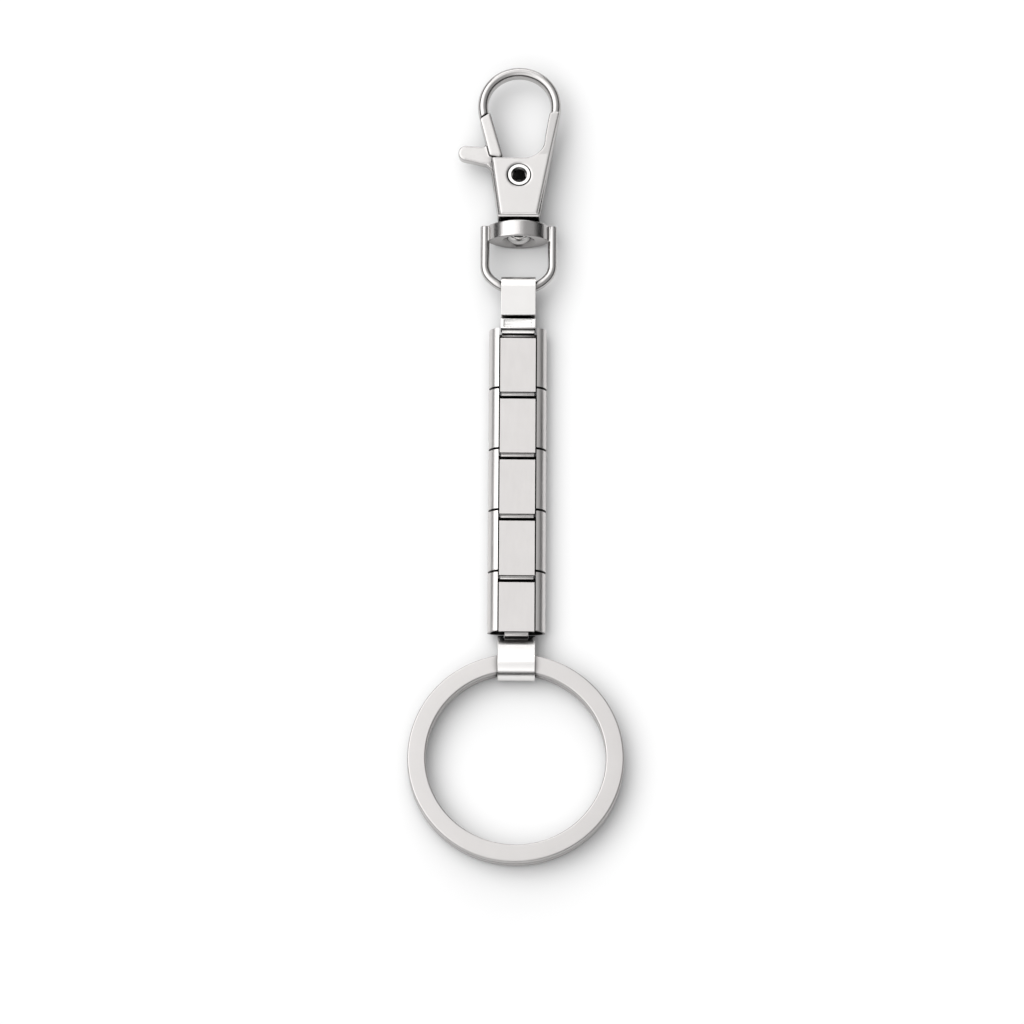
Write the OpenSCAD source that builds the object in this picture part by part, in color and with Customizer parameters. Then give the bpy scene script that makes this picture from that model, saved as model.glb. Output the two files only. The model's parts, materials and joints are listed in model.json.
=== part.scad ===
// Modular-link key chain: swivel snap hook, D-shackle, fold-over band, five hinged links,
// ring loop and a flat two-turn split key ring.
// Lies along Y on its back, +Z up. The origin is under the middle of the whole chain.

/* [Split ring] */
// Outside diameter of the split ring
ring_od = 32; // [28:0.5:36]
// Radial width of the flat ring wire
ring_w = 2.7; // [2.4:0.1:2.8]
// Thickness of one turn of the ring wire
coil_t = 1.25; // [1.1:0.05:1.3]
// Rounding of the ring wire's corners
coil_round = 0.25; // [0.1:0.05:0.4]

/* [Links] */
// Number of links
link_count = 5; // [5:1:5]
// Distance from one link pin to the next
pitch = 9.6; // [9.4:0.1:10.4]
// Width over the two side rails
link_w = 8.65; // [8.4:0.05:9.4]
// Thickness of a link shell
link_t = 3.6; // [3.4:0.1:4]
// Sheet thickness of a link shell
shell_t = 0.4; // [0.3:0.05:0.45]
// Width of a face plate
plate_w = 5.3; // [5:0.1:5.4]
// Thickness of a face plate's strip
plate_t = 0.35; // [0.3:0.05:0.4]
// Gap between the rails of neighbouring links
rail_gap = 0.35; // [0.3:0.05:0.5]
// Diameter of a link pin
pin_d = 0.6; // [0.5:0.05:0.65]

/* [Connectors] */
// Width of the fold-over band at the shackle
band_w = 5.2; // [5:0.1:5.4]
// Width of the ring loop
loop_w = 5.56; // [5.4:0.02:5.6]
// Sheet thickness of both connectors
band_t = 0.42; // [0.35:0.01:0.45]
// Width of the raised stop bar
bar_l = 1.75; // [1.5:0.05:1.9]

/* [Shackle] */
// Outside width of the D-shackle
shackle_w = 11.6; // [11.2:0.1:12.4]
// Diameter of the shackle wire
wire_d = 1.4; // [1.2:0.1:1.6]
// Length of the swivel boss
boss_l = 2.5; // [2:0.1:3]
// Height of the swivel boss
boss_h = 6.2; // [5.8:0.1:6.4]

/* [Snap hook] */
// Outside diameter of the hook's round end
hook_od = 12.6; // [12.2:0.1:13]
// Width of the hook's rounded bar
hook_bar_w = 1.55; // [1.4:0.05:1.7]
// Thickness of the hook's body
hook_t = 5; // [4.6:0.1:5.2]
// Length from the body's lower end to the centre of the round end
hook_l = 18; // [17.5:0.1:19]
// Diameter of the hole through the tubular rivet
rivet_hole_d = 1.9; // [1.6:0.1:2]
// Reach of the thumb tab from the chain's centre line
tab_reach = 9.2; // [8.6:0.1:9.8]

/* [Hidden] */
$fn = 64;
fit = 0.06;
press = 0.01;
hair = 0.005;
edge_flat = 0.01;
over = 1;
weld_lap = 0.07;

// Split ring
ring_or = ring_od / 2;
ring_ir = ring_or - ring_w;
coil_gap = 0.06;
ring_t = 2 * coil_t + coil_gap;
jog_angle = 6;
jog_lap = 2;
ring_end_gap = 3;

// Places along the chain, measured from the ring's centre
wire_sag = 0.13;
loop_y = ring_or - ring_w / 2 - wire_sag;
loop_reach = 4.08;
end_short = 0.3;
end_pin_y = loop_y + loop_reach;
first_pin_y = end_pin_y + link_count * pitch - end_short;
clasp_reach = 7.3;
clasp_y = first_pin_y + clasp_reach;
shackle_reach = 7.4;
collar_l = 0.5;
foot_lip_l = 0.6;
boss_y = clasp_y + shackle_reach;
hook_y = boss_y + boss_l + collar_l + foot_lip_l;
eye_y = hook_y + hook_l;
total_l = eye_y + hook_od / 2 + ring_or;
ring_y = ring_or - total_l / 2;

// Heights above the table
loop_ir = 1.9;
loop_or = loop_ir + band_t;
loop_z = loop_or;
pin_z = link_t / 2;
clasp_ir = 1.3;
clasp_or = clasp_ir + band_t;
hook_z = boss_h / 2;

// Links
pin_r = pin_d / 2;
pin_inset = 0.8;
pin_short = 0.02;
plate_top = link_t + 0.1;
plate_inset = 1.6;
crest_drop = 0.1;
groove_l = 0.3;
groove_depth = 0.28;
last_groove_l = 0.35;
last_wall_y = 0.1;
lip_l = 0.42;
lip_inset = 1.2;
eye_ir = pin_r + fit;
eye_or = pin_r + 0.3;
rail_lip = plate_w / 2 + 0.2;
bevel_l = 0.36;
last_shell_l = 9.1;
fold_r = 0.15;
fold_l = 0.8;
leaf_l = 6.6;
tongue_w = plate_w - 0.4;
end_tongue_w = 3.5;
spring_w = 3.6;
spring_t = 0.2;
spring_l = 6;
spring_rise = 1.9;
spring_gap = 0.02;
spring_end_gap = 0.2;

// Ring loop ears
ear_gap = 0.12;
recess_back = 0.3;
ear_or = 0.68;
ear_clear = 0.1;

// Shackle
wire_r = wire_d / 2;
arm_inset = 0.02;
arm_x = shackle_w / 2 - wire_r - arm_inset;
boss_w = 9.6;
bowl_r = 2.75;
bowl_depth = 0.6;
post_r = 1.3;
post_head_r = 1.8;
post_head_h = 0.8;
post_depth = 2.6;
collar_r = 1.8;
swivel_gap = 0.08;
side_arc_r = 2.9;
side_arc_y = clasp_y + 3.5;
bow_arc_r = 5.8;

// Snap hook
hook_or = hook_od / 2;
hook_ir = hook_or - hook_bar_w;
bar_depth = 2.3;
body_foot = 3.15;
body_h = 9.1;
pivot_y = 6.3;
limb_end = 16.9;
face_inset = 0.35;
face_step = 0.5;
limb_proud = 0.05;
taper_past = 0.6;
gate_t = 1.5;
slot_t = gate_t + 0.3;
rivet_r = rivet_hole_d / 2 + 0.3;
rivet_head_r = rivet_hole_d / 2 + 0.7;
rivet_head_t = 0.35;
rivet_head_gap = 0.12;
rivet_mouth = 0.3;
hub_r = 2.3;
coil_wire = 0.32;
coil_turns = 2;
coil_r = 1.72;
coil_pocket = 0.95;
coil_side_gap = 0.08;
coil_clear = 0.03;
coil_steps = 24;

function names(stem) = [for (i = [1 : link_count]) str("link_", i, "_", stem)];

function pin_y(i) = first_pin_y - (i - 1) * pitch;
function link_top(i) = pin_y(i) + pin_inset;

// ---------- shared shapes ----------

// Puts a shape whose places are measured from the ring's centre into the part's frame
module along_chain(y, z) {
    translate([0, ring_y + y, z]) children();
}

// A side-view outline in Y and Z, drawn as x and y, made into a strip of width w across X
module strip(w) {
    translate([-w / 2, 0, 0])
        rotate([90, 0, 90])
            linear_extrude(height = w) children();
}

// A rectangle with four round corners, centred
module round_rect(w, h, r) {
    square([w - 2 * r, h], center = true);
    square([w, h - 2 * r], center = true);
    for (sx = [-1, 1], sy = [-1, 1])
        translate([sx * (w / 2 - r), sy * (h / 2 - r)]) circle(r = r);
}

// Bar of width w whose side view runs round two circles: radius ra at the origin, and
// radius rb at distance d, at angle lean above +Y. Its flat sides end a hair inside the
// tangent points, so that the shapes cross cleanly.
module teardrop_bar(ra, rb, d, lean, w) {
    tilt = acos((ra - rb) / d);
    near = ra - hair;
    far = rb - hair;
    strip(w) circle(r = ra);
    strip(w) rotate(lean) translate([d, 0]) circle(r = rb);
    strip(w) rotate(lean) polygon([
        near * [cos(tilt), sin(tilt)], [d, 0] + far * [cos(tilt), sin(tilt)],
        [d, 0] + far * [cos(tilt), -sin(tilt)], near * [cos(tilt), -sin(tilt)]
    ]);
}

// ---------- links ----------

// C-shaped section of a link shell: floor and two curled rails
module shell_section() {
    difference() {
        round_rect(link_w, link_t, link_t / 2 - edge_flat);
        round_rect(link_w - 2 * shell_t, link_t - 2 * shell_t, link_t / 2 - shell_t - edge_flat);
        translate([-rail_lip, 0]) square([2 * rail_lip, link_t]);
    }
}

// Wedge cut under one end of a shell, so that neighbours can bend
module bend_relief() {
    past = 0.1;
    strip(link_w + over)
        polygon([[past, -pin_z - past], [past, 0], [0, 0], [-bevel_l, -pin_z - past]]);
}

module link_shell(i) {
    shell_l = i == link_count ? last_shell_l : pitch - rail_gap;
    color("silver")
        along_chain(link_top(i), pin_z)
            difference() {
                rotate([90, 0, 0]) linear_extrude(height = shell_l) shell_section();
                bend_relief();
                translate([0, -shell_l, 0]) mirror([0, 1, 0]) bend_relief();
                translate([-link_w / 2 - over, -pin_inset, 0])
                    rotate([0, 90, 0]) cylinder(r = pin_r + press, h = link_w + 2 * over);
            }
}

// Folded sleeve: face, fold at the top end, and the leaf that lies on the shell floor
module sleeve_outline(face_l) {
    top = plate_top - pin_z;
    foot = shell_t - pin_z;
    start = -plate_inset;
    difference() {
        union() {
            translate([start - face_l, top - plate_t]) square([face_l - fold_r, plate_t]);
            translate([start - fold_l, foot]) square([fold_l, top - foot - fold_r]);
            translate([start - fold_r - fold_l, top - fold_l]) square([fold_l, fold_l]);
            translate([start - fold_r, top - fold_r]) circle(r = fold_r);
            translate([start - leaf_l, foot]) square([leaf_l, plate_t]);
        }
        translate([start - plate_t - leaf_l, foot + plate_t])
            square([leaf_l, top - foot - 2 * plate_t]);
    }
}

// Turned-down lip with a raised crest, a groove behind it, and the eye round the next pin,
// which lies at the outline's origin
module tongue_outline(wall_y) {
    top = plate_top - pin_z - crest_drop;
    shelf = plate_top - pin_z - groove_depth;
    crest_r = plate_t / 2;
    difference() {
        union() {
            translate([wall_y, 0]) square([plate_t, top - crest_r]);
            translate([wall_y + crest_r, top - crest_r]) circle(r = crest_r);
            translate([wall_y + crest_r, shelf - plate_t]) square([lip_l + groove_l, plate_t]);
            circle(r = eye_or);
        }
        circle(r = eye_ir);
    }
}

module link_plate(i) {
    last = i == link_count;
    next_pin = last ? end_pin_y : pin_y(i + 1);
    wall_y = last ? last_wall_y : pin_inset - lip_inset;
    face_end = next_pin + wall_y + plate_t + (last ? last_groove_l : groove_l);
    face_l = link_top(i) - plate_inset - face_end;
    color("gainsboro") {
        along_chain(link_top(i), pin_z) strip(plate_w) sleeve_outline(face_l);
        along_chain(next_pin, pin_z) strip(last ? end_tongue_w : tongue_w) tongue_outline(wall_y);
    }
}

module link_pin(i) {
    color("gray")
        along_chain(pin_y(i), pin_z)
            rotate([0, 90, 0]) cylinder(r = pin_r, h = link_w - 2 * pin_short, center = true);
}

// Bowed leaf spring inside the sleeve
module link_spring(i) {
    arc_r = (pow(spring_l / 2, 2) + pow(spring_rise, 2)) / (2 * spring_rise);
    base = shell_t + plate_t + spring_gap;
    spring_y = link_top(i) - plate_inset - plate_t - spring_l / 2 - spring_end_gap;
    color("darkgray")
        along_chain(spring_y, base)
            strip(spring_w)
                intersection() {
                    translate([0, spring_rise - arc_r]) difference() {
                        circle(r = arc_r);
                        circle(r = arc_r - spring_t);
                    }
                    translate([-spring_l / 2, 0]) square([spring_l, spring_rise + over]);
                }
}

// ---------- connectors ----------

// Band folded round the shackle's bow, with a sprung top leaf
module clasp_band() {
    tail = clasp_y - first_pin_y - pin_inset - bar_l + weld_lap;
    top_l = 4.05;
    top_lift = 14;
    slot_h = 0.9 * clasp_ir;
    color("gainsboro")
        along_chain(clasp_y, hook_z)
            strip(band_w)
                difference() {
                    union() {
                        circle(r = clasp_or);
                        translate([-tail, -clasp_or]) square([tail, band_t]);
                        rotate(top_lift) {
                            translate([-top_l, clasp_or - band_t]) square([top_l, band_t]);
                            translate([-top_l, clasp_or - band_t / 2]) circle(r = band_t / 2);
                        }
                    }
                    circle(r = clasp_ir);
                    translate([-tail - over, band_t - clasp_or]) square([tail + over, slot_h]);
                }
}

// Stop bar welded to the band's lower leaf, with the tongue that hooks the first link's pin
module clasp_stop_bar() {
    bar_y = first_pin_y + pin_inset - weld_lap + bar_l / 2;
    bar_base = hook_z - clasp_or;
    bar_top = 3.45;
    bar_round = 0.3;
    dish_depth = 0.2;
    dish_w = 0.6;
    dish_margin = 0.45;
    tongue_y = 0.2;
    tongue_rise = 1.1;
    tongue_t = 0.5;
    tongue_l = pin_inset + 0.2;
    color("gainsboro") {
        difference() {
            along_chain(bar_y, (bar_top + bar_base) / 2)
                strip(band_w) round_rect(bar_l, bar_top - bar_base, bar_round);
            along_chain(bar_y, bar_top)
                rotate([0, 90, 0])
                    scale([dish_depth, dish_w, 1])
                        cylinder(r = 1, h = band_w - 2 * dish_margin, center = true);
        }
        along_chain(first_pin_y, pin_z)
            strip(tongue_w)
                difference() {
                    union() {
                        circle(r = eye_or);
                        polygon([
                            [tongue_y, pin_r], [tongue_y, tongue_rise], [tongue_l, tongue_rise],
                            [tongue_l, tongue_rise - tongue_t], [0.95 * eye_or, 0.05], [0.75 * eye_or, 0.05]
                        ]);
                    }
                    circle(r = eye_ir);
                }
    }
}

// Band looped round the split ring, with two ears that carry the last pin
module ring_loop() {
    reach = end_pin_y - loop_y;
    rise = pin_z - loop_z;
    dist = norm([reach, rise]);
    lean = atan2(rise, reach);
    slit_r = 0.2;
    slit_end = 1.3;
    gap_w = end_tongue_w + 2 * ear_gap;
    cut_w = loop_w + over;
    color("gainsboro")
        difference() {
            along_chain(loop_y, loop_z) teardrop_bar(loop_or, ear_or, dist, lean, loop_w);
            along_chain(loop_y, loop_z)
                teardrop_bar(loop_ir, slit_r, dist - slit_end, lean, cut_w);
            along_chain(end_pin_y, pin_z) {
                strip(gap_w) circle(r = eye_or + ear_clear);
                strip(gap_w) translate([-recess_back, 0]) square([ear_or + over, ear_or + over]);
                strip(cut_w) circle(r = pin_r + press);
            }
        }
}

module ring_loop_pin() {
    color("gray")
        along_chain(end_pin_y, pin_z)
            rotate([0, 90, 0]) cylinder(r = pin_r, h = loop_w - 2 * pin_short, center = true);
}

// ---------- split ring ----------

// One turn of flat wire at height z, from angle start, through angle sweep
module turn(z, start, sweep) {
    translate([0, 0, z])
        rotate([0, 0, start])
            rotate_extrude(angle = sweep)
                translate([ring_ir + ring_w / 2, coil_t / 2]) round_rect(ring_w, coil_t, coil_round);
}

// Two turns of one wire, joined by a short step up under the ring loop
module split_ring() {
    lift = coil_t + coil_gap;
    jog_x = ring_or * sin(jog_angle);
    sweep = 360 - jog_angle + jog_lap - ring_end_gap - jog_angle;
    color("silver")
        along_chain(0, loop_z - ring_t / 2) {
            turn(0, 90 + jog_angle - jog_lap, sweep);
            turn(lift, 90 + jog_angle + ring_end_gap, sweep);
            intersection() {
                difference() {
                    cylinder(r = ring_or, h = ring_t);
                    translate([0, 0, -over]) cylinder(r = ring_ir, h = ring_t + 2 * over);
                }
                translate([0, ring_or + over, 0])
                    rotate([90, 0, 0])
                        linear_extrude(height = ring_w + 4 * over)
                            polygon([[-jog_x, 0], [jog_x, lift], [jog_x, ring_t], [-jog_x, coil_t]]);
            }
        }
}

// ---------- shackle ----------

// Wire of radius r between two points at one height
module wire_bar(from, to, r) {
    run = to - from;
    translate(from)
        rotate([0, 90, atan2(run[1], run[0])])
            cylinder(r = r, h = norm(run));
}

// Part of a round bow in the XY plane: centre, bend radius, start angle, sweep and wire radius
module wire_arc(centre, bend, start, sweep, r) {
    translate(centre)
        rotate([0, 0, start])
            rotate_extrude(angle = sweep) translate([bend, 0]) circle(r = r);
}

// The swivel boss: a bar of lens section with a bore for the post and a shallow bowl round it
module swivel_boss() {
    lens_r = (pow(boss_w, 2) + pow(boss_h, 2)) / (4 * boss_h);
    intersection() {
        translate([0, boss_h / 2 - lens_r, 0]) cylinder(r = lens_r, h = boss_l);
        translate([0, lens_r - boss_h / 2, 0]) cylinder(r = lens_r, h = boss_l);
    }
}

// Two arms and a bow of one wire, with the boss between the arms. Each stretch of wire runs a
// little way into the next, and every second one is a hair thinner, so that they cross cleanly.
module swivel_shackle() {
    lap_a = 2;
    lap = 0.1;
    thin_r = wire_r - hair;
    bow_x = arm_x - side_arc_r;
    join_a = asin(bow_x / (bow_arc_r - side_arc_r));
    side_y = side_arc_y - clasp_y;
    bow_y = side_y + (bow_arc_r - side_arc_r) * cos(join_a);
    foot_y = boss_y - clasp_y;
    top_y = foot_y + boss_l - 1.5 * lap;
    color("silver")
        along_chain(clasp_y, hook_z)
            difference() {
                union() {
                    wire_arc([0, bow_y, 0], bow_arc_r, 270 - join_a - lap_a, 2 * (join_a + lap_a), thin_r);
                    for (side = [-1, 1])
                        mirror([side < 0 ? 1 : 0, 0, 0]) {
                            wire_arc([bow_x, side_y, 0], side_arc_r, 270 + join_a, 90 - join_a, wire_r);
                            wire_bar([arm_x, side_y - lap, 0], [arm_x, top_y, 0], thin_r);
                        }
                    translate([0, foot_y + boss_l, 0]) rotate([90, 0, 0]) swivel_boss();
                }
                translate([0, foot_y + boss_l + over, 0])
                    rotate([90, 0, 0]) cylinder(r = post_r + fit, h = boss_l + 2 * over);
                translate([0, foot_y - lap, 0])
                    rotate([-90, 0, 0])
                        cylinder(r1 = bowl_r, r2 = post_head_r - lap, h = bowl_depth + lap);
            }
}

// Post fixed in the hook's foot, passing through the boss to a domed head in its bowl
module swivel_post() {
    dome_r = (pow(post_head_r, 2) + pow(post_head_h, 2)) / (2 * post_head_h);
    head_y = bowl_depth - swivel_gap;
    shaft_end = boss_l + collar_l + foot_lip_l + post_depth;
    head_lap = 0.2;
    color("lightgray")
        along_chain(boss_y, hook_z) {
            translate([0, shaft_end, 0])
                rotate([90, 0, 0]) cylinder(r = post_r, h = shaft_end - head_y + head_lap);
            translate([0, boss_l + collar_l, 0])
                rotate([90, 0, 0]) cylinder(r = collar_r, h = collar_l - swivel_gap);
            translate([0, head_y, 0])
                rotate([90, 0, 0])
                    intersection() {
                        cylinder(r = post_head_r - swivel_gap, h = post_head_h);
                        translate([0, 0, post_head_h - dome_r]) sphere(r = dome_r);
                    }
        }
}

// ---------- snap hook ----------

// Outer outline of the whole hook, seen from above, measured from its foot
module hook_outline() {
    edge_a = 11;
    out = hook_or * [cos(edge_a), -sin(edge_a)];
    difference() {
        union() {
            translate([0, hook_l]) circle(r = hook_or);
            polygon([
                [-body_foot, 0], [body_foot, 0], [out[0], hook_l + out[1]], [-out[0], hook_l + out[1]]
            ]);
        }
        hook_opening();
    }
}

// The space inside the hook: round at the top, narrowing to the body's upper edge
module hook_opening() {
    corner_r = 3.1;
    corner_x = 0.75;
    corner_a = 22;
    edge_a = 20;
    left_x = 2.75;
    inner = hook_ir * [cos(edge_a), -sin(edge_a)];
    translate([0, hook_l]) circle(r = hook_ir);
    translate([corner_x, body_h + corner_r]) circle(r = corner_r);
    polygon([
        [-inner[0], hook_l + inner[1]], [-left_x, body_h], [corner_x, body_h],
        [corner_x + corner_r * cos(corner_a), body_h + corner_r - corner_r * sin(corner_a)],
        [inner[0], hook_l + inner[1]]
    ]);
}

// The zone that the gate takes out of the hook's left side, with the slanting slit at its top
module gate_zone(slit) {
    far_x = 9;
    near_x = 2.2;
    slit_in = [-4.1, 17.2 - slit];
    slit_out = [-7.2, 15.2 - slit];
    low_y = body_h + slit;
    polygon([
        [-far_x, low_y], [-near_x, low_y], [-near_x, slit_in[1]], slit_in, slit_out,
        [-far_x, slit_out[1]]
    ]);
}

// Round end of the hook: a stadium-section bar bent about the eye's centre
module hook_bow() {
    bar_r = hook_bar_w / 2;
    rise = bar_depth / 2 - bar_r;
    start = -16;
    sweep = 225;
    for (z = [-rise, rise])
        wire_arc([0, hook_l, z], hook_or - bar_r, start, sweep, bar_r);
    translate([0, hook_l, -rise])
        rotate([0, 0, start])
            rotate_extrude(angle = sweep)
                translate([hook_ir + hair, 0]) square([hook_bar_w - 2 * hair, 2 * rise]);
}

// Flared lip at the hook's foot
module foot_lip() {
    lip_x = body_foot + 0.05;
    neck_x = body_foot - face_inset;
    lip_z = hook_t / 2 + 0.3;
    neck_z = hook_t / 2 - 0.05;
    edge_y = -foot_lip_l / 2;
    neck_y = 0.05;
    intersection() {
        linear_extrude(height = 2 * lip_z, center = true)
            polygon([
                [-lip_x, -foot_lip_l], [lip_x, -foot_lip_l], [lip_x, edge_y], [neck_x, neck_y],
                [-neck_x, neck_y], [-lip_x, edge_y]
            ]);
        strip(3 * body_foot)
            polygon([
                [-foot_lip_l, -lip_z], [-foot_lip_l, lip_z], [edge_y, lip_z], [neck_y, neck_z],
                [neck_y, -neck_z], [edge_y, -lip_z]
            ]);
    }
}

// Slot for the gate, bores for the rivet with their counterbores, and the post's bore
module hook_cuts() {
    translate([0, 0, -slot_t / 2]) linear_extrude(height = slot_t) slot_outline();
    translate([0, pivot_y, -hook_t]) cylinder(r = rivet_r + press, h = 2 * hook_t);
    for (face = [0, 1])
        mirror([0, 0, face])
            translate([0, pivot_y, hook_t / 2 - rivet_head_t])
                cylinder(r = rivet_head_r + rivet_head_gap, h = rivet_head_t + over);
    translate([0, post_depth, 0])
        rotate([90, 0, 0]) cylinder(r = post_r + press, h = post_depth + foot_lip_l + over);
}

module hook_body() {
    color("silver")
        along_chain(hook_y, hook_z)
            difference() {
                union() {
                    hook_bow();
                    // body and limb: a front and back face, inset from the wider middle
                    body_slab(0, face_step);
                    body_slab(face_inset, 0);
                    foot_lip();
                }
                linear_extrude(height = 2 * hook_t, center = true) gate_zone(0);
                hook_cuts();
            }
}

// One layer of the body and limb, its outline inset by d and its faces lower by sunk. It keeps
// the body's full thickness up to the opening and thins along the limb towards the bow.
module body_slab(d, sunk) {
    body_z = hook_t / 2 - sunk;
    limb_z = bar_depth / 2 + limb_proud - sunk;
    taper_y = body_h + taper_past;
    intersection() {
        linear_extrude(height = hook_t, center = true)
            intersection() {
                hook_outline();
                body_zone(d);
            }
        strip(hook_od + over)
            polygon([
                [-over, -body_z], [-over, body_z], [taper_y, body_z], [limb_end, limb_z],
                [limb_end, -limb_z], [taper_y, -body_z]
            ]);
    }
}

// The body and limb seen from above, with the sides inset by d, and by a third of d at the bow
module body_zone(d) {
    limb_x = 6.2;
    limb_w = 2.6;
    crook_x = 0.4;
    top_x = 4.4;
    polygon([
        [-body_foot + d, 0], [body_foot - d, 0], [limb_x - d / 3, limb_end],
        [limb_x - limb_w, limb_end], [crook_x, body_h], [-top_x + d, body_h]
    ]);
}

// Slot inside the body: the gate's hub and tail turn in it
module slot_outline() {
    room_r = hub_r + 0.25;
    side_x = 7;
    side_drop = 1.2;
    top_y = 12;
    top_x = 1.9;
    translate([0, pivot_y]) circle(r = room_r);
    polygon([
        [-side_x, pivot_y - side_drop], [0, pivot_y - room_r], [room_r, pivot_y],
        [top_x, top_y], [-side_x, top_y]
    ]);
}

// Flat plate of the gate, seen from above: the hub, the arm that runs up from it, and the
// thumb tab that sticks out of the hook's side
module gate_plate_outline() {
    tab_tip_r = 1.2;
    tab_y = 10.4;
    tab_x = tab_tip_r - tab_reach;
    translate([0, pivot_y]) circle(r = hub_r);
    polygon([
        [-1.6, pivot_y - 1.6], [1.2, pivot_y + 1.9], [-2.6, body_h + 0.7], [-3.9, 12.2],
        [-5.3, 11.6], [-4.9, 8.5]
    ]);
    translate([tab_x, tab_y]) circle(r = tab_tip_r);
    polygon([
        [tab_x, tab_y + tab_tip_r], [-4.6, tab_y + 0.9], [-4.2, tab_y - 2.1],
        [tab_x, tab_y - tab_tip_r]
    ]);
}

// The gate's closing bar, seen from above
module gate_bar_outline() {
    polygon([[-5.95, 15.6], [-5.75, 17.4], [-4.6, 17.4], [-2.5, 9.9], [-2.85, 9.35], [-4.5, 9.9]]);
}

// Gate: the flat plate that turns on the rivet, and the thicker closing bar on it
module hook_gate() {
    bar_extra = 0.3;
    slit = 0.18;
    pocket_r = coil_r + coil_wire / 2 + coil_side_gap;
    color("silver")
        along_chain(hook_y, hook_z)
            difference() {
                union() {
                    linear_extrude(height = gate_t, center = true) gate_plate_outline();
                    linear_extrude(height = bar_depth + bar_extra, center = true)
                        intersection() {
                            gate_bar_outline();
                            gate_zone(slit);
                        }
                }
                translate([0, pivot_y, -hook_t]) cylinder(r = rivet_r + fit, h = 2 * hook_t);
                translate([0, pivot_y, gate_t / 2 - coil_pocket])
                    cylinder(r = pocket_r, h = gate_t);
            }
}

// Hollow rivet with a head at each face; the gate turns on it
module gate_rivet() {
    mouth_lap = 0.02;
    color("lightgray")
        along_chain(hook_y + pivot_y, hook_z)
            difference() {
                union() {
                    cylinder(r = rivet_r, h = hook_t, center = true);
                    for (face = [-1, 1])
                        translate([0, 0, face * (hook_t / 2 - rivet_head_t / 2)])
                            cylinder(r = rivet_head_r, h = rivet_head_t, center = true);
                }
                cylinder(r = rivet_hole_d / 2, h = hook_t + over, center = true);
                for (face = [0, 1])
                    mirror([0, 0, face])
                        translate([0, 0, hook_t / 2 - rivet_mouth])
                            cylinder(
                                r1 = rivet_hole_d / 2 - mouth_lap,
                                r2 = rivet_hole_d / 2 + rivet_mouth,
                                h = rivet_mouth + mouth_lap
                            );
            }
}

// Points of a ring of the spring's wire at turn angle a
function coil_ring(a, z, sides) =
    [for (k = [0 : sides - 1])
        let (b = 360 * k / sides, r = coil_r + coil_wire / 2 * cos(b))
        [r * cos(a), r * sin(a), z + coil_wire / 2 * sin(b)]];

// Torsion spring lying in the gate's pocket, round the rivet
module gate_spring() {
    sides = 8;
    steps = coil_steps * coil_turns;
    rise = coil_wire + coil_clear;
    base = gate_t / 2 - coil_pocket + coil_wire / 2 + coil_clear;
    points = [for (s = [0 : steps])
        each coil_ring(360 * s / coil_steps, base + rise * s / coil_steps, sides)];
    walls = [for (s = [0 : steps - 1], k = [0 : sides - 1])
        let (n = (k + 1) % sides)
        [s * sides + k, (s + 1) * sides + k, (s + 1) * sides + n, s * sides + n]];
    color("darkgray")
        along_chain(hook_y + pivot_y, hook_z)
            polyhedron(
                points = points,
                faces = concat(
                    walls,
                    [[for (k = [0 : sides - 1]) k]],
                    [[for (k = [0 : sides - 1]) steps * sides + sides - 1 - k]]
                )
            );
}

hook_body();
hook_gate();
gate_rivet();
gate_spring();
swivel_post();
swivel_shackle();
clasp_band();
clasp_stop_bar();
for (i = [1 : link_count]) {
    link_shell(i);
    link_plate(i);
    link_pin(i);
    link_spring(i);
}
ring_loop();
ring_loop_pin();
split_ring();
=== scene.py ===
# Looks of the modular-link key chain: metals, the wound split ring, studio light and camera.

import json
import math

import bpy
from mathutils import Matrix, Vector


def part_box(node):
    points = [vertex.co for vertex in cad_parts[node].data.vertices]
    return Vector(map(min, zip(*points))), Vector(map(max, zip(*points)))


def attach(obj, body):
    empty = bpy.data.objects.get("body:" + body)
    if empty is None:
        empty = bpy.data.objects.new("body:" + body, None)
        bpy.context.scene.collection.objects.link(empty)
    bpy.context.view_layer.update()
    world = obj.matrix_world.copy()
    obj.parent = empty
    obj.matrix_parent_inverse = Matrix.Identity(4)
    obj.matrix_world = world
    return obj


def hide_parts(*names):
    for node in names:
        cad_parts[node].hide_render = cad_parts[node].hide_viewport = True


MM = 0.001

# metal: size of the tint clouds and of the grain, and how the grain varies the roughness
CLOUD_SCALE = 260.0
GRAIN_SCALE = 2600.0
GRAIN_RANGE = (0.3, 0.7)
GRAIN_DEPTH = 0.02 * MM
TINT = 0.04

# painted shade, near black, in gaps, inside corners and on faces close to the floor: how far it
# looks for a near surface, and the openness where it is full and where it ends
PAINTED_SHADE_REACH = 4 * MM
PAINTED_SHADE_SAMPLES = 8
PAINTED_SHADE_FULL = 0.34
PAINTED_SHADE_NONE = 0.88
PAINTED_SHADE_COLOUR = (0.03, 0.028, 0.026, 1)

# edges of the sheet parts: joining distance, flattening angle, and bevel steps and angle
WELD_DISTANCE = 0.002 * MM
FLAT_ANGLE = math.radians(0.6)
EDGE_SEGMENTS = 3
EDGE_ANGLE = math.radians(32)
NORMAL_WEIGHT = 60

# cast parts in mm: voxel size and rounds of smoothing
CAST_SKIN = {"hook_body": (0.09, 28), "hook_gate": (0.09, 26), "swivel_shackle": (0.09, 12)}

# sheet parts in mm: width of the rounded edges; plates and shells share one width
EDGE = {"clasp_band": 0.06, "clasp_stop_bar": 0.12, "ring_loop": 0.08}
LINK_EDGE = 0.07

# split ring: section of the flat wire, gap between the turns, half the step's angle, end gap
WIRE_W = 2.7 * MM
CORNER_R = 0.25 * MM
CORNER_STEPS = 5
TURN_GAP = 0.06 * MM
STEP_ANGLE = 6
END_GAP = 3

# floor, and the studio's brightness
FLOOR_SIZE = 3.0
FLOOR_GREY = 0.93
FLOOR_ROUGH = 0.9
WORLD_STRENGTH = 2.35
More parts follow.
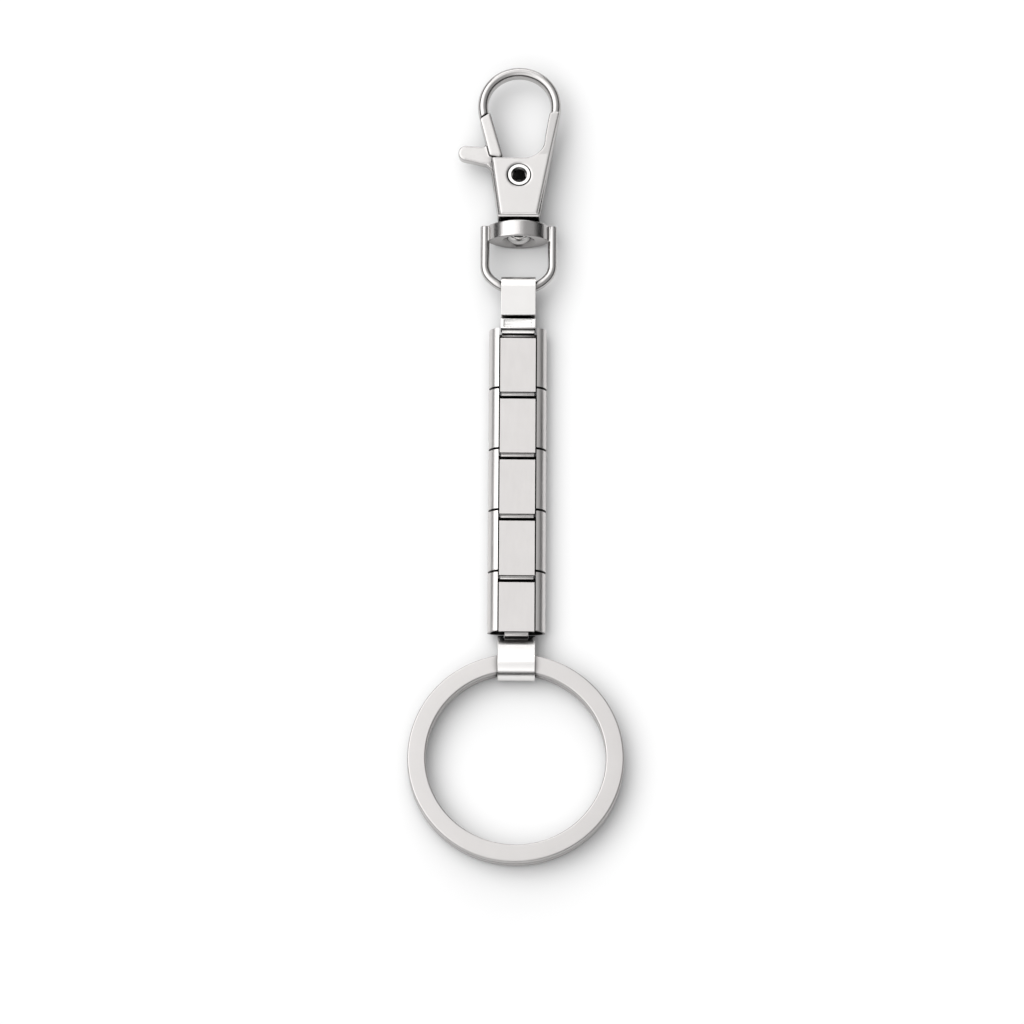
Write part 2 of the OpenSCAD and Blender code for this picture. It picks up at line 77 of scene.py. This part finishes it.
# brightness of the tent by height, from straight down to straight up
TENT_HEIGHT = [
    (0.0, 0.01), (0.28, 0.03), (0.44, 0.30), (0.60, 0.84), (0.76, 0.72), (0.91, 0.62), (1.0, 0.56)]
# and from left to right
TENT_SIDE = [(0.0, 0.90), (0.30, 1.0), (0.46, 0.80), (0.54, 0.72), (0.68, 0.36), (1.0, 0.20)]

# camera: above and in front of the ring's end
ELEVATION = math.radians(72)
DISTANCE = 1.2
FIELD = math.radians(7.285)
AIM = Vector((-0.76, -7.9, 2.0)) * MM
ROLL = math.radians(0.35)
SENSOR = 36
CLIP = (0.05, 10)

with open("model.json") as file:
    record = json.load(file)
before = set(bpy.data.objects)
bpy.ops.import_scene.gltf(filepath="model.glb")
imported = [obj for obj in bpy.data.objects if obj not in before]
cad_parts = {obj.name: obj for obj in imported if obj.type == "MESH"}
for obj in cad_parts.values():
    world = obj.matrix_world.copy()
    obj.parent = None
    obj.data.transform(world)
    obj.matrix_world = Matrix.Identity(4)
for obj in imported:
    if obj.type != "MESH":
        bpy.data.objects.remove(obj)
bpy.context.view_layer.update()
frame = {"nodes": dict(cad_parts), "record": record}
scene = bpy.context.scene

# ---------------------------------------------------------------- materials


def node(tree, kind, **inputs):
    """A shader node with its input values set by name."""
    made = tree.nodes.new(kind)
    for name, value in inputs.items():
        made.inputs[name.replace("_", " ")].default_value = value
    return made


def metal(name, colour, rough, spread, grain, relief):
    """Procedural metal: tint clouds, painted shade in gaps and near other surfaces, and a grain in
    its roughness and relief.

    spread is how far the roughness varies, grain the fineness along X, Y and Z.
    """
    mat = bpy.data.materials.new(name)
    mat.use_nodes = True
    tree = mat.node_tree
    link = tree.links.new
    shader = tree.nodes["Principled BSDF"]
    shader.inputs["Metallic"].default_value = 1.0
    coords = tree.nodes.new("ShaderNodeTexCoord")

    # slow colour clouds, a few millimetres across
    clouds = node(tree, "ShaderNodeTexNoise", Scale=CLOUD_SCALE, Detail=3.0, Roughness=0.55)
    link(coords.outputs["Object"], clouds.inputs["Vector"])
    shade = tree.nodes.new("ShaderNodeValToRGB")
    shade.color_ramp.elements[0].color = (*[c * (1 - TINT) for c in colour], 1)
    shade.color_ramp.elements[1].color = (*[min(1, c * (1 + TINT)) for c in colour], 1)
    link(clouds.outputs["Fac"], shade.inputs["Fac"])

    # painted shade: the colour darkens to near black in narrow gaps, inside corners and close to
    # the floor, where shade falls
    occlusion_probe = node(tree, "ShaderNodeAmbientOcclusion", Distance=PAINTED_SHADE_REACH)
    occlusion_probe.samples = PAINTED_SHADE_SAMPLES
    painted_shade_ramp = tree.nodes.new("ShaderNodeValToRGB")
    painted_shade_ramp.color_ramp.elements[0].position = PAINTED_SHADE_FULL
    painted_shade_ramp.color_ramp.elements[0].color = PAINTED_SHADE_COLOUR
    painted_shade_ramp.color_ramp.elements[1].position = PAINTED_SHADE_NONE
    painted_shade_ramp.color_ramp.elements[1].color = (1, 1, 1, 1)
    link(occlusion_probe.outputs["AO"], painted_shade_ramp.inputs["Fac"])
    tint_with_painted_shade = tree.nodes.new("ShaderNodeVectorMath")
    tint_with_painted_shade.operation = "MULTIPLY"
    link(shade.outputs["Color"], tint_with_painted_shade.inputs[0])
    link(painted_shade_ramp.outputs["Color"], tint_with_painted_shade.inputs[1])
    link(tint_with_painted_shade.outputs["Vector"], shader.inputs["Base Color"])

    # grain: noise stretched along the drawing direction
    stretch = tree.nodes.new("ShaderNodeMapping")
    stretch.inputs["Scale"].default_value = [g * GRAIN_SCALE for g in grain]
    link(coords.outputs["Object"], stretch.inputs["Vector"])
    streaks = node(tree, "ShaderNodeTexNoise", Scale=1.0, Detail=4.0, Roughness=0.7)
    link(stretch.outputs["Vector"], streaks.inputs["Vector"])

    # roughness from the grain
    gloss = node(
        tree, "ShaderNodeMapRange", From_Min=GRAIN_RANGE[0], From_Max=GRAIN_RANGE[1],
        To_Min=rough - spread, To_Max=rough + spread)
    link(streaks.outputs["Fac"], gloss.inputs["Value"])
    link(gloss.outputs["Result"], shader.inputs["Roughness"])

    bump = node(tree, "ShaderNodeBump", Strength=relief, Distance=GRAIN_DEPTH)
    link(streaks.outputs["Fac"], bump.inputs["Height"])
    link(bump.outputs["Normal"], shader.inputs["Normal"])
    return mat


CAST = metal("cast_nickel", (0.505, 0.492, 0.486), 0.22, 0.03, (4, 4, 4), 0.004)
PLATE = metal("satin_plate", (0.56, 0.543, 0.536), 0.42, 0.05, (1, 0.12, 1), 0.06)
RAIL = metal("drawn_rail", (0.67, 0.652, 0.642), 0.36, 0.06, (1.6, 0.05, 1.6), 0.08)
BAND = metal("bright_band", (0.82, 0.805, 0.795), 0.24, 0.02, (0.3, 4, 4), 0.0)
RING = metal("satin_ring", (0.535, 0.519, 0.512), 0.29, 0.015, (4, 4, 4), 0.0)
POLISHED = metal("polished_steel", (0.66, 0.65, 0.64), 0.14, 0.03, (1, 1, 1), 0.005)
SPRING = metal("drawn_spring", (0.35, 0.34, 0.33), 0.35, 0.08, (1, 0.1, 1), 0.08)

LOOKS = {
    "nickel_plated_zinc": CAST,
    "satin_steel": PLATE,
    "satin_ring_steel": RING,
    "rail_steel": RAIL,
    "bright_band_steel": BAND,
    "polished_steel": POLISHED,
    "spring_steel": SPRING,
}
SLOT_OF = {s["node"]: s["material_slot"] for s in frame["record"]["subparts"]}


def dress(obj, material):
    """Gives every face of obj one material."""
    obj.data.materials.clear()
    obj.data.materials.append(material)


def round_edges(obj, width):
    """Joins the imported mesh's faces and rounds its sharp edges."""
    weld = obj.modifiers.new("weld", "WELD")
    weld.merge_threshold = WELD_DISTANCE
    flat = obj.modifiers.new("flat", "DECIMATE")
    flat.decimate_type = "DISSOLVE"
    flat.angle_limit = FLAT_ANGLE
    bevel = obj.modifiers.new("bevel", "BEVEL")
    bevel.width = width
    bevel.segments = EDGE_SEGMENTS
    bevel.limit_method = "ANGLE"
    bevel.angle_limit = EDGE_ANGLE
    for poly in obj.data.polygons:
        poly.use_smooth = True
    even_normals(obj).keep_sharp = True


def even_normals(obj):
    """Lets the large faces set the shading at the edges."""
    normals = obj.modifiers.new("normals", "WEIGHTED_NORMAL")
    normals.weight = NORMAL_WEIGHT
    return normals


def soften(obj, voxel, rounds):
    """Melts a cast piece's edges: even voxel skin, then smoothing."""
    skin = obj.modifiers.new("skin", "REMESH")
    skin.mode = "VOXEL"
    skin.voxel_size = voxel
    skin.use_smooth_shade = True
    melt = obj.modifiers.new("melt", "SMOOTH")
    melt.factor = 0.5
    melt.iterations = rounds


for name, obj in frame["nodes"].items():
    dress(obj, LOOKS[SLOT_OF[name]])
    if name in CAST_SKIN:
        voxel, rounds = CAST_SKIN[name]
        soften(obj, voxel * MM, rounds)
        continue
    if name in EDGE or name.endswith(("plate", "shell")):
        round_edges(obj, EDGE.get(name, LINK_EDGE) * MM)

# ---------------------------------------------------------------- split ring


def rounded_section(width, height, radius, steps):
    """Points round a rectangle with round corners, centred on the wire: (out, up)."""
    points = []
    for corner, (sx, sy) in enumerate([(1, 1), (-1, 1), (-1, -1), (1, -1)]):
        for i in range(steps + 1):
            a = math.radians(90 * (corner + i / steps))
            points.append((
                sx * (width / 2 - radius) + radius * math.cos(a),
                sy * (height / 2 - radius) + radius * math.sin(a)))
    return points


def coil_ring():
    """The split ring as one flat wire wound two turns, with a step up under the loop."""
    low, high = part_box("split_ring")
    outer = (high[0] - low[0]) / 2
    centre = Vector(((low[0] + high[0]) / 2, low[1] + outer, low[2]))
    turn_t = (high[2] - low[2] - TURN_GAP) / 2
    lift = turn_t + TURN_GAP
    section = rounded_section(WIRE_W, turn_t, CORNER_R, CORNER_STEPS)
    middle = outer - WIRE_W / 2

    # the wire's angles run clockwise from its lower end to its upper end
    first = 90 - STEP_ANGLE - END_GAP
    turn = 360 - 2 * STEP_ANGLE - END_GAP
    step_start = first - turn
    step_end = step_start - 2 * STEP_ANGLE
    last = step_end - turn
    verts, faces = [], []
    count = first - last
    for i in range(count + 1):
        angle = first - i
        along = min(1, max(0, (step_start - angle) / (step_start - step_end)))
        rise = lift * along * along * (3 - 2 * along)
        out = Vector((math.cos(math.radians(angle)), math.sin(math.radians(angle)), 0))
        for x, z in section:
            verts.append(centre + out * (middle + x) + Vector((0, 0, turn_t / 2 + rise + z)))
    n = len(section)
    for i in range(count):
        for k in range(n):
            j = (k + 1) % n
            faces.append((i * n + k, i * n + j, (i + 1) * n + j, (i + 1) * n + k))
    faces.append(tuple(range(n - 1, -1, -1)))
    faces.append(tuple(count * n + k for k in range(n)))
    mesh = bpy.data.meshes.new("coil_ring")
    mesh.from_pydata(verts, [], faces)
    mesh.update()
    ring = bpy.data.objects.new("coil_ring", mesh)
    scene.collection.objects.link(ring)
    for poly in mesh.polygons:
        poly.use_smooth = len(poly.vertices) == 4
    dress(ring, RING)
    even_normals(ring)
    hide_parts("split_ring")
    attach(ring, "ring")


coil_ring()

# ---------------------------------------------------------------- floor and light


def floor():
    """A plain white floor, which isn't part of the object."""
    bpy.ops.mesh.primitive_plane_add(size=FLOOR_SIZE, location=(0, 0, 0))
    plane = bpy.context.object
    plane.name = "floor"
    mat = bpy.data.materials.new("floor_paper")
    mat.use_nodes = True
    shader = mat.node_tree.nodes["Principled BSDF"]
    shader.inputs["Base Color"].default_value = (FLOOR_GREY, FLOOR_GREY, FLOOR_GREY, 1)
    shader.inputs["Roughness"].default_value = FLOOR_ROUGH
    shader.inputs["Specular IOR Level"].default_value = 0.0
    dress(plane, mat)


def softbox(name, place, aim, size, power):
    """A rectangular area light at place, turned towards aim."""
    light = bpy.data.lights.new(name, "AREA")
    light.shape = "RECTANGLE"
    light.size, light.size_y = size
    light.energy = power
    obj = bpy.data.objects.new(name, light)
    scene.collection.objects.link(obj)
    obj.location = place
    obj.rotation_mode = "QUATERNION"
    obj.rotation_quaternion = (Vector(aim) - Vector(place)).to_track_quat("-Z", "Y")


def ramp(tree, source, stops):
    """Grey levels of a value from 0 to 1; stops are (place, level)."""
    made = tree.nodes.new("ShaderNodeValToRGB")
    made.color_ramp.interpolation = "EASE"
    while len(made.color_ramp.elements) < len(stops):
        made.color_ramp.elements.new(1.0)
    for stop, (place, level) in zip(made.color_ramp.elements, stops):
        stop.position = place
        stop.color = (level, level, level, 1)
    tree.links.new(source, made.inputs["Fac"])
    return made.outputs["Color"]


def studio_world():
    """White tent: bright upper left, greyer right, dark low band round the horizon."""
    world = bpy.data.worlds.new("studio")
    scene.world = world
    world.use_nodes = True
    tree = world.node_tree
    link = tree.links.new
    coords = tree.nodes.new("ShaderNodeTexCoord")
    split = tree.nodes.new("ShaderNodeSeparateXYZ")
    link(coords.outputs["Generated"], split.inputs["Vector"])
    height = ramp(tree, split.outputs["Z"], TENT_HEIGHT)
    across = tree.nodes.new("ShaderNodeMapRange")
    across.inputs["From Min"].default_value = -1.0
    link(split.outputs["X"], across.inputs["Value"])
    side = ramp(tree, across.outputs["Result"], TENT_SIDE)
    mix = tree.nodes.new("ShaderNodeVectorMath")
    mix.operation = "MULTIPLY"
    link(height, mix.inputs[0])
    link(side, mix.inputs[1])
    link(mix.outputs["Vector"], tree.nodes["Background"].inputs["Color"])
    tree.nodes["Background"].inputs["Strength"].default_value = WORLD_STRENGTH


floor()
studio_world()
softbox("key", (-0.9, 0.45, 1.5), (0, 0, 0), (1.8, 1.8), 8.4)
softbox("back_card", (-0.05, 1.3, 0.50), (0, 0, 0), (1.2, 0.55), 3.5)

# ---------------------------------------------------------------- camera

camera = bpy.data.objects.new("camera", bpy.data.cameras.new("camera"))
scene.collection.objects.link(camera)
back = Vector((0, -math.cos(ELEVATION), math.sin(ELEVATION)))
camera.location = AIM + back * DISTANCE
camera.rotation_mode = "QUATERNION"
roll = Matrix.Rotation(ROLL, 3, "Z").to_quaternion()
camera.rotation_quaternion = (-back).to_track_quat("-Z", "Y") @ roll
camera.data.sensor_width = SENSOR
camera.data.lens = SENSOR / 2 / math.tan(FIELD / 2)
camera.data.clip_start, camera.data.clip_end = CLIP
scene.camera = camera
scene.view_settings.view_transform = "Standard"
